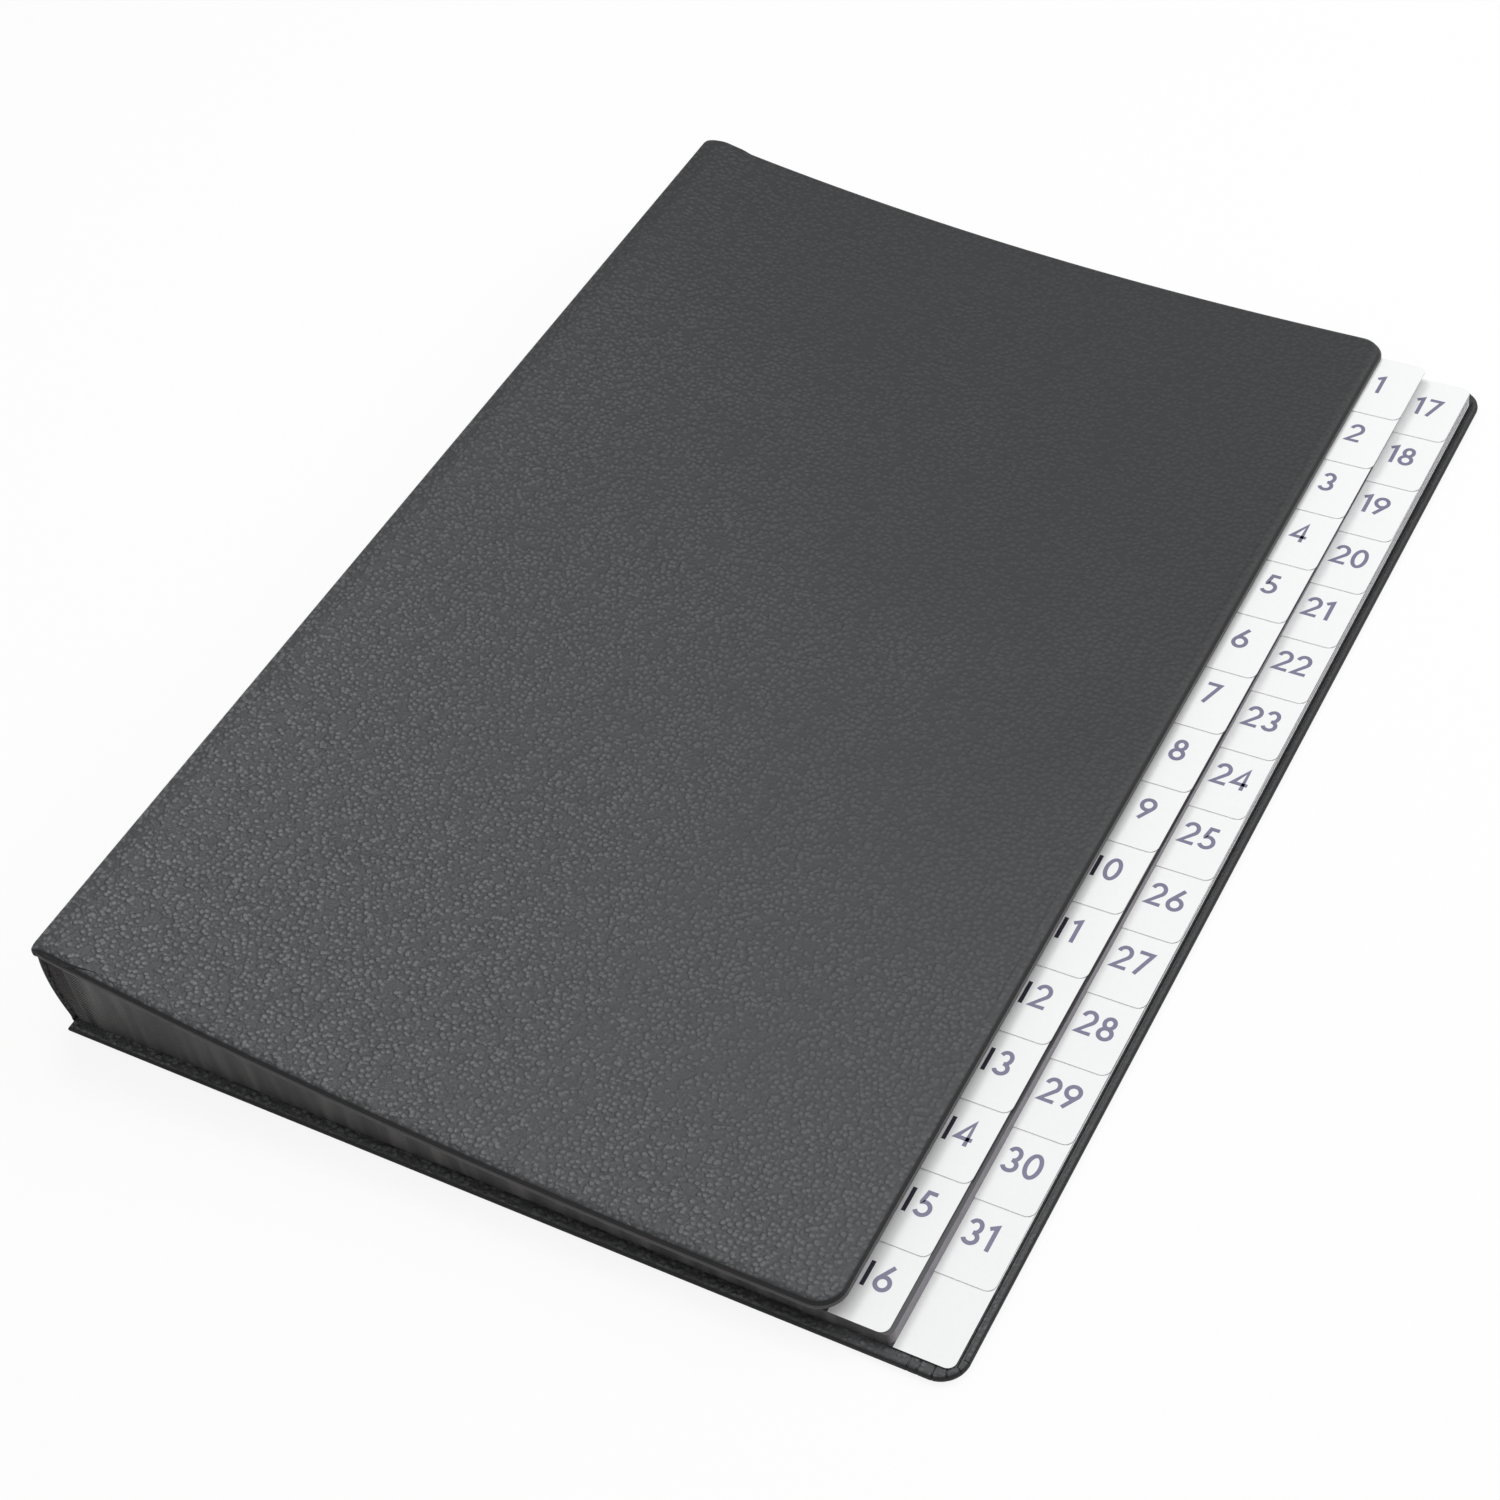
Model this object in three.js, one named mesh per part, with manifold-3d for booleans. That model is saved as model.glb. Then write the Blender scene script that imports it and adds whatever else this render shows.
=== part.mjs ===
// An indexed desk file lying on its back cover: two padded covers and a bulging spine in one
// grained black covering, and a stack of card leaves whose numbered tabs stand out in two columns.
// Units are millimetres. While the pieces are made, X runs from the spine to the fore edge,
// Y from the tail to the head and Z up from the table.
import * as THREE from "three";
import { mergeVertices } from "three/addons/utils/BufferGeometryUtils.js";
import Module from "manifold-3d";

const wasm = await Module();
wasm.setup();

// Covers
const coverLength = 338.4; // tail to head
const backThickness = 2.5;
const frontStart = 1.8; // the front cover's spine edge, clear of the spine's covering
const frontWidth = 215; // the front cover's fore edge, short of the tabs
const backMargin = 2.4; // the back cover's fore edge, past the tabs
const frontThickness = 2.8;
const coverCornerRadius = 7;

// Spine: one strip of covering that bulges outwards between its foot and its top
const spineThickness = 1.2;
const spineBulge = 2.6;
const spineInset = 1.8; // how far it stops short of the covers' head and tail
const footGap = 0.6; // between the back cover and the spine's foot
const topDrop = 0.8; // the spine's top below the front cover's upper face

// Linings, which hide the turned-in covering
const liningThickness = 0.2;
const liningMargin = 12; // covering left bare around a lining
const layingGap = 0.05; // between sheets that lie on each other

// Leaves
const leafCount = 32;
const tabsPerColumn = 16;
const leafThickness = 0.22;
const leafPitch = 0.255; // leaf to leaf where the stack is pressed flat, at the fore edge
const spineRise = 20.4; // how much more room the same leaves take at the spine
const risePower = 2.25; // how soon the stack flattens away from the spine
const leafTail = 3; // the leaves' tail edge from the covers' tail edge
const tabPitch = 20.5; // length of one tab along the fore edge
const headTabExtra = 2.6; // the two tabs at the head are longer by this much
const tabCornerRadius = 2.2;
const footCornerRadius = 2;
const firstTabHidden = 4; // part of a first-column tab that the front cover hides
const firstTabWidth = 10.2; // part of it that shows
const firstTabLean = 0.17; // each leaf above the lowest tab stands out by this much more
const columnStep = 1.25; // from the lowest first-column tab to the second column's cut
const secondTabWidth = 14.15;
const edgeScatter = 0.12; // hand-stacked leaves don't line up exactly

// Hinge strip: folded like an accordion, with the spine edge of a leaf glued into each fold
const stripSlant = 0.7; // half the strip's width along a leaf, where it slants past it
const stripMouth = 5.5; // the open side of the folds
const leafStart = 4.5; // the leaves' spine edge, inside the folds
const stripBackGap = 0.4; // between the folds and the spine's covering

// Smoothness
const curveSteps = 14; // stretches along the curve from spine to fore edge
const edgeSteps = 6; // facets round a cover's edge
const cornerSteps = 4; // facets round a corner seen from above
const spineSteps = 16;

// Places across the file, from the spine edge
const firstColumnCut = frontWidth - firstTabHidden; // leaves are cut back to here below a tab
const firstColumnEdge = frontWidth + firstTabWidth;
const secondColumnCut = firstColumnEdge + columnStep;
const secondColumnEdge = secondColumnCut + secondTabWidth;
const backWidth = secondColumnEdge + backMargin;

const leafHead = leafTail + tabsPerColumn * tabPitch + headTabExtra;
const stackFloor = backThickness + liningThickness + layingGap;
const frontGap = liningThickness + 2 * layingGap; // room for the lining over the top leaf

// Height of the stack's upper face: flat at the fore edge, rising towards the spine.
function stackTop(x) {
  const fromEdge = Math.max(0, 1 - x / frontWidth);
  return stackFloor + leafCount * leafPitch + spineRise * fromEdge ** risePower;
}

// Height inside the stack: layer 0 is its floor and layer leafCount its upper face.
function layerHeight(x, layer) {
  return stackFloor + ((stackTop(x) - stackFloor) * layer) / leafCount;
}

const frontUnderside = (x) => stackTop(x) + frontGap;
const frontTop = frontUnderside(frontStart) + frontThickness;
const spineFoot = backThickness + footGap;
const spineTop = frontTop - topDrop;

// The spine's outer face at height z.
function spineOuter(z) {
  const share = (z - spineFoot) / (spineTop - spineFoot);
  return -4 * spineBulge * share * (1 - share);
}
const spineInner = (z) => spineOuter(z) + spineThickness;

function range(steps, from, to) {
  return Array.from({ length: steps + 1 }, (_, i) => from + ((to - from) * i) / steps);
}

// Materials
const covering = { color: 0x4b4c4f, roughness: 0.55, metalness: 0 };
const liningSheet = { color: 0x2f2f32, roughness: 0.8, metalness: 0 };
const cloth = { color: 0x28282a, roughness: 0.9, metalness: 0 };
const card = { color: 0x45444a, roughness: 0.8, metalness: 0 };
const paleCard = { color: 0xf2f3f3, roughness: 0.7, metalness: 0 };

function piece(name, geometry, look) {
  const mesh = new THREE.Mesh(geometry, new THREE.MeshStandardMaterial(look));
  mesh.name = name;
  return mesh;
}

// A section in X and Z, drawn out along Y from one height of the page to the other.
function alongSpine(section, from, to) {
  const shape = new THREE.Shape(section.map(([x, z]) => new THREE.Vector2(x, z)));
  const geometry = new THREE.ExtrudeGeometry(shape, { depth: to - from, bevelEnabled: false });
  return geometry.rotateX(Math.PI / 2).translate(0, to, 0);
}

// A cover: a board with rounded fore corners and a half-round edge, whose underside follows
// a curve. Its rings of vertices run round the edge from the underside to the upper face.
function coverGeometry({ start, reach, thickness, underside }) {
  const edgeRadius = thickness / 2;
  const flatStart = start + edgeRadius;
  const cornerCentre = reach - coverCornerRadius;
  const stations = range(curveSteps, flatStart, cornerCentre);
  const turns = range(cornerSteps, -Math.PI / 2, 0).slice(1);
  const perSide = 1 + (stations.length - 1) + turns.length;
  const vertices = [];
  for (const lean of range(edgeSteps, -Math.PI / 2, Math.PI / 2)) {
    const inset = edgeRadius * (1 - Math.cos(lean));
    const lift = edgeRadius * (1 + Math.sin(lean));
    const arc = coverCornerRadius - inset;
    const tailSide = [
      [start + inset, inset],
      ...stations.slice(1).map((x) => [x, inset]),
      ...turns.map((a) => [cornerCentre + arc * Math.cos(a), coverCornerRadius + arc * Math.sin(a)]),
    ];
    const headSide = tailSide.map(([x, y]) => [x, coverLength - y]).reverse();
    for (const [x, y] of [...tailSide, ...headSide]) vertices.push(x, y, underside(x) + lift);
  }
  const perRing = 2 * perSide;
  const faces = [];
  for (let ring = 0; ring < edgeSteps; ring++)
    for (let i = 0; i < perRing; i++) {
      const low = ring * perRing;
      const next = (i + 1) % perRing;
      faces.push(low + i, low + next, low + perRing + next);
      faces.push(low + i, low + perRing + next, low + perRing + i);
    }
  const last = edgeSteps * perRing;
  for (let i = 0; i + 1 < perSide; i++) {
    const tail = [i, i + 1];
    const head = [perRing - 1 - i, perRing - 2 - i];
    faces.push(tail[0], head[1], tail[1], tail[0], head[0], head[1]);
    faces.push(last + tail[0], last + tail[1], last + head[1]);
    faces.push(last + tail[0], last + head[1], last + head[0]);
  }
  const geometry = new THREE.BufferGeometry();
  geometry.setAttribute("position", new THREE.Float32BufferAttribute(vertices, 3));
  geometry.setIndex(faces);
  return geometry;
}

// A thin sheet's section between two curves, each a function of x.
function sheetSection(stations, lower, upper) {
  const below = stations.map((x) => [x, lower(x)]);
  const above = stations.map((x) => [x, upper(x)]).reverse();
  return [...below, ...above];
}

function toSolid(geometry) {
  const bare = new THREE.BufferGeometry();
  const source = geometry.index ? geometry.toNonIndexed() : geometry;
  bare.setAttribute("position", source.getAttribute("position"));
  const merged = mergeVertices(bare, 1e-4);
  const triVerts = new Uint32Array(merged.index.array);
  const vertProperties = merged.attributes.position.array;
  return new wasm.Manifold(new wasm.Mesh({ numProp: 3, vertProperties, triVerts }));
}

function fromSolid(solid) {
  const mesh = solid.getMesh();
  const geometry = new THREE.BufferGeometry();
  geometry.setAttribute("position", new THREE.Float32BufferAttribute(mesh.vertProperties, 3));
  geometry.setIndex(Array.from(mesh.triVerts));
  return geometry;
}

// A small repeatable scatter for leaf number k, between -1 and 1.
const scatter = (k) => Math.sin(2.4 * k) * Math.cos(5.1 * k);

// What leaf k of the stack looks like from above: where it is cut back, and its tab.
function leafPlan(k) {
  const inFirst = k <= tabsPerColumn;
  const fromTail = (inFirst ? tabsPerColumn : leafCount) - k;
  const lean = inFirst ? firstTabLean * fromTail : 0;
  const edge = (inFirst ? firstColumnEdge : secondColumnEdge) + lean + edgeScatter * scatter(k);
  const cut = inFirst ? firstColumnCut : secondColumnCut;
  return { edge, cut, tabFoot: leafTail + fromTail * tabPitch, hasCut: fromTail > 0 };
}

function leafOutline({ edge, cut, tabFoot, hasCut }) {
  const shape = new THREE.Shape();
  shape.moveTo(leafStart, leafTail);
  if (hasCut) {
    shape.lineTo(cut - footCornerRadius, leafTail);
    shape.absarc(cut - footCornerRadius, leafTail + footCornerRadius, footCornerRadius, -Math.PI / 2, 0);
    shape.lineTo(cut, tabFoot);
  }
  shape.lineTo(edge - tabCornerRadius, tabFoot);
  shape.absarc(edge - tabCornerRadius, tabFoot + tabCornerRadius, tabCornerRadius, -Math.PI / 2, 0);
  shape.lineTo(edge, leafHead - tabCornerRadius);
  shape.absarc(edge - tabCornerRadius, leafHead - tabCornerRadius, tabCornerRadius, 0, Math.PI / 2);
  shape.lineTo(leafStart, leafHead);
  return shape;
}

// Leaf k, counted from the top of the stack: a curved sheet, trimmed to its outline.
function leafGeometry(k) {
  const plan = leafPlan(k);
  const middle = (x) => layerHeight(x, leafCount - k + 0.5);
  const curve = range(curveSteps, leafStart, frontWidth);
  const section = sheetSection(
    [...curve, plan.edge],
    (x) => middle(x) - leafThickness / 2,
    (x) => middle(x) + leafThickness / 2,
  );
  const blank = alongSpine(section, leafTail, leafHead);
  const knife = new THREE.ExtrudeGeometry(leafOutline(plan), {
    depth: spineTop,
    bevelEnabled: false,
    curveSegments: cornerSteps,
  });
  return fromSolid(toSolid(blank).intersect(toSolid(knife)));
}

// The folded hinge strip behind the leaves, one fold for each leaf. It is laid out by x and
// stack layer, so that its folds lean with the leaves.
function hingeStripGeometry() {
  const endLayer = 0.15;
  const folds = range(2 * leafCount, 0, leafCount).map((layer, i) => {
    const clear = stripBackGap + stripSlant;
    const foldBack = spineInner(layerHeight(0, layer)) + clear;
    const level = Math.min(Math.max(layer, endLayer), leafCount - endLayer);
    return [i % 2 ? foldBack : stripMouth, level];
  });
  const atSlant = (slant) => folds.map(([x, layer]) => [x + slant, layerHeight(x + slant, layer)]);
  const section = [...atSlant(stripSlant), ...atSlant(-stripSlant).reverse()];
  return alongSpine(section, leafTail, leafHead);
}

function spineGeometry() {
  const heights = range(spineSteps, spineFoot, spineTop);
  const outer = heights.map((z) => [spineOuter(z), z]);
  const inner = heights.map((z) => [spineInner(z), z]).reverse();
  return alongSpine([...outer, ...inner].reverse(), spineInset, coverLength - spineInset);
}

function liningGeometry(start, reach, lower) {
  const stations = range(curveSteps, start + liningMargin, reach - liningMargin);
  const section = sheetSection(stations, lower, (x) => lower(x) + liningThickness);
  return alongSpine(section, liningMargin, coverLength - liningMargin);
}

const back = new THREE.Group();
back.add(
  piece(
    "back_cover",
    coverGeometry({ start: 0, reach: backWidth, thickness: backThickness, underside: () => 0 }),
    covering,
  ),
  piece("back_lining", liningGeometry(0, backWidth, () => backThickness), liningSheet),
  piece("hinge_strip", hingeStripGeometry(), cloth),
);
for (let k = 1; k < leafCount; k++) {
  const number = String(k).padStart(2, "0");
  back.add(piece(`index_leaf_${number}`, leafGeometry(k), card));
}
back.add(piece("back_leaf", leafGeometry(leafCount), paleCard));

const spine = new THREE.Group();
spine.add(piece("spine_cover", spineGeometry(), covering));

const front = new THREE.Group();
front.add(
  piece(
    "front_cover",
    coverGeometry({
      start: frontStart,
      reach: frontWidth,
      thickness: frontThickness,
      underside: frontUnderside,
    }),
    covering,
  ),
  piece(
    "front_lining",
    liningGeometry(frontStart, frontWidth, (x) => stackTop(x) + layingGap),
    liningSheet,
  ),
);

// The origin is under the middle of the whole file, on the table.
const deskFile = new THREE.Group();
deskFile.name = "indexed_desk_file";
deskFile.add(back, spine, front);
deskFile.position.set(-(backWidth - spineBulge) / 2, -coverLength / 2, 0);

export default deskFile;
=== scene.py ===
import math

import bmesh
import bpy
from mathutils import Matrix, Vector


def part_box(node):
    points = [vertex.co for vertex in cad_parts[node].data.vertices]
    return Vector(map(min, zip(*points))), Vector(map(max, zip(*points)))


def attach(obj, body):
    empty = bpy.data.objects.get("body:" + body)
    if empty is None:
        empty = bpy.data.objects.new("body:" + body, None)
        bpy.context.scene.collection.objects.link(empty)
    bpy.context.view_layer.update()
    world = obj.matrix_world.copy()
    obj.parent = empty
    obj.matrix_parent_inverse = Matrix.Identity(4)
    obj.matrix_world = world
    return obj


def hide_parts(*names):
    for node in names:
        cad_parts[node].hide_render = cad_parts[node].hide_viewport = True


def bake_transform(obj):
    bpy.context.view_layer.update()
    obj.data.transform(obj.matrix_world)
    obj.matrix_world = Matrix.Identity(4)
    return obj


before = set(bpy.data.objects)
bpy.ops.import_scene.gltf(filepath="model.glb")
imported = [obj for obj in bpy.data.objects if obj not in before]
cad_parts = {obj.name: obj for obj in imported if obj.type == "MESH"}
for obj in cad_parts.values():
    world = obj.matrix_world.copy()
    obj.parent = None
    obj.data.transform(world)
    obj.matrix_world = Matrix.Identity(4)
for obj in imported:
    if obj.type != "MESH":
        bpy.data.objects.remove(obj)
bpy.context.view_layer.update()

ORIGIN, BACK_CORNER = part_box("back_cover")
MM = 0.001

# Sizes that come from the frame
COVER_LENGTH = (BACK_CORNER.y - ORIGIN.y) / MM
BACK_WIDTH = (BACK_CORNER.x - ORIGIN.x) / MM
BACK_THICKNESS = (BACK_CORNER.z - ORIGIN.z) / MM
FRONT_START = (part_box("front_cover")[0].x - ORIGIN.x) / MM
FRONT_WIDTH = (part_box("front_cover")[1].x - ORIGIN.x) / MM
SPINE_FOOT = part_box("spine_cover")[0].z / MM
SPINE_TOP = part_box("spine_cover")[1].z / MM
LEAF_START = (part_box("back_leaf")[0].x - ORIGIN.x) / MM
LEAF_TAIL = (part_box("back_leaf")[0].y - ORIGIN.y) / MM
LEAF_HEAD = (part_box("back_leaf")[1].y - ORIGIN.y) / MM

# Sizes of the construction, as in the part's source
FRONT_THICKNESS = 2.8
CORNER_RADIUS = 7
SPINE_THICKNESS = 1.2
SPINE_BULGE = 2.6
LINING_THICKNESS = 0.2
LINING_MARGIN = 12
LINING_CORNER = 4
LAYING_GAP = 0.05
LEAF_COUNT = 32
TABS = 16
LEAF_THICKNESS = 0.22
LEAF_PITCH = 0.255
SPINE_RISE = 20.4
RISE_POWER = 2.25
TAB_PITCH = 20.5
TAB_CORNER = 2.2
FOOT_CORNER = 2
TAB_HIDDEN = 4
FIRST_TAB = 10.2
TAB_LEAN = 0.17
COLUMN_STEP = 1.25
SECOND_TAB = 14.15
EDGE_SCATTER = 0.12

STACK_FLOOR = BACK_THICKNESS + LINING_THICKNESS + LAYING_GAP
FRONT_GAP = LINING_THICKNESS + 2 * LAYING_GAP


def stack_top(x):
    from_edge = max(0.0, 1 - x / FRONT_WIDTH)
    return STACK_FLOOR + LEAF_COUNT * LEAF_PITCH + SPINE_RISE * from_edge**RISE_POWER


def layer_height(x, layer):
    return STACK_FLOOR + (stack_top(x) - STACK_FLOOR) * layer / LEAF_COUNT


def front_underside(x):
    return stack_top(x) + FRONT_GAP


def front_top(x):
    return front_underside(x) + FRONT_THICKNESS


def spine_outer(z):
    share = (z - SPINE_FOOT) / (SPINE_TOP - SPINE_FOOT)
    return -4 * SPINE_BULGE * share * (1 - share)


def steps(count, start, end):
    return [start + (end - start) * i / count for i in range(count + 1)]


def smooth(value, low, high):
    t = min(max((value - low) / (high - low), 0), 1)
    return t * t * (3 - 2 * t)


def place(x, y, z):
    return ORIGIN + Vector((x, y, z)) * MM


# Meshes

def finish_mesh(bm, name, materials, sharp_angle=35):
    bmesh.ops.recalc_face_normals(bm, faces=bm.faces)
    for face in bm.faces:
        face.smooth = True
    limit = math.radians(sharp_angle)
    for edge in bm.edges:
        if len(edge.link_faces) == 2 and edge.calc_face_angle() > limit:
            edge.smooth = False
    mesh = bpy.data.meshes.new(name)
    bm.to_mesh(mesh)
    bm.free()
    for material in materials:
        mesh.materials.append(material)
    obj = bpy.data.objects.new(name, mesh)
    bpy.context.scene.collection.objects.link(obj)
    return obj


def mesh_from(points, faces, name, materials, sharp_angle=35, second=()):
    """points are in millimetres in the making frame; faces are lists of their numbers.
    The faces in the range second get the second material."""
    bm = bmesh.new()
    verts = [bm.verts.new(place(*p)) for p in points]
    for number, face in enumerate(faces):
        bm.faces.new([verts[i] for i in face]).material_index = 1 if number in second else 0
    return finish_mesh(bm, name, materials, sharp_angle)


def ellipse_arc(centre, radii, start, end, count):
    turns = [math.radians(a) for a in steps(count, start, end)]
    return [(centre[0] - radii[0] * math.cos(a), centre[1] + radii[1] * math.sin(a)) for a in turns]


# The front cover's edge: a small lip, then a soft roll, each with the angles between which it runs
LIP_RADIUS = 0.5
LIP_TURN = (-90, 75)
LIP_STEPS = 8
ROLL_CENTRE = (3.3, 0.95)
ROLL_RADII = (2.8, FRONT_THICKNESS - ROLL_CENTRE[1])
ROLL_TURN = (8, 90)
ROLL_STEPS = 12
BACK_EDGE_STEPS = 14

# How finely a cover is divided: along x, over its last stretch before the fore corners, round
# a fore corner, and between the tail and the head
FACE_STEPS = 80
LAST_STRETCH = 7
LAST_STEPS = 40
CORNER_STEPS = 70
FACE_ROWS = 60
FACE_SWELL = 0.12  # how far the front cover's padded face waves up and down


def front_edge_profile():
    """(inset, height) round the front cover's edge, from its underside to its upper face."""
    lip = ellipse_arc((LIP_RADIUS, LIP_RADIUS), (LIP_RADIUS, LIP_RADIUS), *LIP_TURN, LIP_STEPS)
    return lip + ellipse_arc(ROLL_CENTRE, ROLL_RADII, *ROLL_TURN, ROLL_STEPS)


def edge_drop(from_edge):
    """How far the front cover's roll has come down at this distance from its edge."""
    share = min(max((ROLL_CENTRE[0] - from_edge) / ROLL_RADII[0], 0), 1)
    return ROLL_RADII[1] * (1 - math.sqrt(1 - share**2))


def back_edge_profile():
    half = BACK_THICKNESS / 2
    return ellipse_arc((half, half), (half, half), -90, 90, BACK_EDGE_STEPS)


# Pleats of the turned-in covering, by distance along the edge from the middle of a fore corner
PLEATS = (-10.5, -8.2, -4.6, -1.2, 2.1, 4.9)
PLEAT_HALF_WIDTH = 0.34
PLEAT_DEPTH = 0.55
PLEATS_ABOVE = 0.2  # the underside has none
PLEAT_FADE = (0.3, 1.2)  # of the inset and the height together


def corner_pleats(along):
    """How deep the covering is tucked at this place along the edge."""
    return PLEAT_DEPTH * max(max(0, 1 - abs(along - at) / PLEAT_HALF_WIDTH) for at in PLEATS)


def cover(name, start, reach, underside, profile, materials, pleats=False, waviness=0.0, second=()):
    """A wrapped board: rings of points run round its edge, and a grid fills its two faces.
    The rings between the two numbers of second get the second material."""
    centre = reach - CORNER_RADIUS
    widest = max(inset for inset, _ in profile)
    last = centre - LAST_STRETCH
    stations = steps(FACE_STEPS, start + widest, last) + steps(LAST_STEPS, last, centre)[1:]
    turns = [math.radians(a) for a in steps(CORNER_STEPS, -90, 0)][1:]
    points, rings = [], []
    for inset, lift in profile:
        arc = CORNER_RADIUS - inset
        side = [(start + inset, inset, -reach)]
        side += [(x, inset, x - centre - CORNER_RADIUS * math.pi / 4) for x in stations[1:]]
        for a in turns:
            along = CORNER_RADIUS * (a + math.pi / 4)
            side.append((centre + arc * math.cos(a), CORNER_RADIUS + arc * math.sin(a), along))
        head = [(x, COVER_LENGTH - y, along) for x, y, along in reversed(side)]
        ring = []
        for x, y, along in side + head:
            tuck = 0
            if pleats and lift > PLEATS_ABOVE:
                tuck = corner_pleats(along) * smooth(inset + lift, *PLEAT_FADE)
            inward = 1 if y < COVER_LENGTH / 2 else -1
            ring.append(len(points))
            points.append((x, y + inward * tuck / 2, underside(x) + lift - tuck / 2))
        rings.append(ring)
    faces = []
    count = len(rings[0])
    for low, high in zip(rings, rings[1:]):
        for i in range(count):
            j = (i + 1) % count
            faces.append([low[i], low[j], high[j], high[i]])
    rim = range(second[0] * count, second[1] * count) if second else ()
    for ring in (rings[0], rings[-1]):
        faces += fill_face(points, ring, FACE_ROWS, waviness if ring is rings[-1] else 0)
    return mesh_from(points, faces, name, materials, second=rim)


def fill_face(points, ring, rows, waviness):
    """A grid between the tail and head halves of a ring, which have the same places along x."""
    half = len(ring) // 2
    lines = []
    for i in range(half):
        tail, head = points[ring[i]], points[ring[-1 - i]]
        line = [ring[i]]
        for r in range(1, rows):
            share = r / rows
            x, y = tail[0], tail[1] + (head[1] - tail[1]) * share
            swell = waviness * math.sin(math.pi * share) * soft_wave(x, y)
            line.append(len(points))
            points.append((x, y, tail[2] + swell))
        lines.append(line + [ring[-1 - i]])
    faces = []
    for a, b in zip(lines, lines[1:]):
        for r in range(rows):
            faces.append([a[r], b[r], b[r + 1], a[r + 1]])
    return faces


def soft_wave(x, y):
    """A slow swell of the padded face that starts clear of the spine, between -1 and 1."""
    return smooth(x, 26, 70) * math.sin(x / 31 + y / 67) * math.cos(y / 43 - x / 90)


# The covering across the spine: how far it stops short of the covers' head and tail, how its
# lapped end sinks on the front cover, and where its rows of points lie
SPINE_INSET = 2.4
SUNK_DEPTH = 0.35
SUNK_FROM, SUNK_TO = 11, 17
SINK_REACH = 3.6
END_STEPS = 4
NEAR_END = (0.25, 0.55, 0.9, 1.3, 1.8, 2.4, 3.2, 5, 12)
MIDDLE_FROM = 24
MIDDLE_STEPS = 40


def sunk_end(x, from_end):
    """The lapped end of the covering goes under the front cover's own covering at its rolled edge."""
    return SUNK_DEPTH * smooth(x, SUNK_FROM, SUNK_TO) * (1 - smooth(from_end, 0, SINK_REACH))


def strip(name, path, thickness, inset, lowered, materials):
    """Covering that follows a path of (x, z) points across the spine. Its two ends are rounded,
    and where lowered is 1 they come down with the front cover's rolled edge."""
    normals = []
    for i in range(len(path)):
        ax, az = path[max(i - 1, 0)]
        bx, bz = path[min(i + 1, len(path) - 1)]
        length = math.hypot(bx - ax, bz - az)
        normals.append(((bz - az) / length, -(bx - ax) / length))
    turns = [math.radians(a) for a in steps(END_STEPS, 0, 90)]
    tail = [(1, math.sin(a), 1 - math.cos(a), 0) for a in turns]
    tail += [(1, 1, 1, distance) for distance in NEAR_END]
    middle = [(0, 1, 1, y) for y in steps(MIDDLE_STEPS, MIDDLE_FROM, COVER_LENGTH - MIDDLE_FROM)]
    head = [(-1, *section) for _, *section in reversed(tail)]
    points, lines = [], []
    for end, fullness, run, distance in tail + middle + head:
        line = []
        for inner in (0, 1):
            order = range(len(path)) if inner == 0 else reversed(range(len(path)))
            for i in order:
                (x, z), (nx, nz), t = path[i], normals[i], thickness(i)
                shift = t * (0.5 + (inner - 0.5) * fullness)
                y, drop = distance, 0
                if end:
                    from_end = inset(i) + t / 2 * run + distance
                    drop = lowered(i) * edge_drop(from_end) + sunk_end(x, from_end)
                    y = from_end if end > 0 else COVER_LENGTH - from_end
                line.append(len(points))
                points.append((x + nx * shift, y, z + nz * shift - drop))
        lines.append(line)
    faces = []
    count = len(lines[0])
    for a, b in zip(lines, lines[1:]):
        for i in range(count):
            j = (i + 1) % count
            faces.append([a[i], a[j], b[j], b[i]])
    for line in (lines[0], lines[-1]):
        for i in range(count // 2 - 1):
            faces.append([line[i], line[i + 1], line[-2 - i], line[-1 - i]])
    return mesh_from(points, faces, name, materials, sharp_angle=50)


def curved_sheet(name, x_range, lower, material):
    """A lining cut with round corners, lying on the curve that lower gives."""
    (x0, x1), (y0, y1) = x_range, (LINING_MARGIN, COVER_LENGTH - LINING_MARGIN)
    corner = LINING_CORNER
    outline = []
    for cx, cy, first in ((x1 - corner, y0 + corner, -90), (x1 - corner, y1 - corner, 0),
                          (x0 + corner, y1 - corner, 90), (x0 + corner, y0 + corner, 180)):
        for a in steps(6, first, first + 90):
            turn = math.radians(a)
            outline.append((cx + corner * math.cos(turn), cy + corner * math.sin(turn)))
    return bent_plate(name, outline, lower, lambda x: LINING_THICKNESS, material, x1)


def bent_plate(name, outline, lower, thickness, material, curve_end, cuts=48):
    """An outline seen from above, drawn up to a thin plate and bent to a curve along x."""
    bm = bmesh.new()
    face = bm.faces.new([bm.verts.new((x, y, 0)) for x, y in outline])
    raised = bmesh.ops.extrude_face_region(bm, geom=[face])
    for v in raised["geom"]:
        if isinstance(v, bmesh.types.BMVert):
            v.co.z = 1
    start = min(x for x, _ in outline)
    for x in steps(cuts, start, curve_end)[1:-1]:
        everything = bm.verts[:] + bm.edges[:] + bm.faces[:]
        bmesh.ops.bisect_plane(bm, geom=everything, plane_co=(x, 0, 0), plane_no=(1, 0, 0))
    for v in bm.verts:
        x, y, upper = v.co
        v.co = place(x, y, lower(x) + thickness(x) * upper)
    return finish_mesh(bm, name, [material], sharp_angle=40)


# Materials

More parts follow.
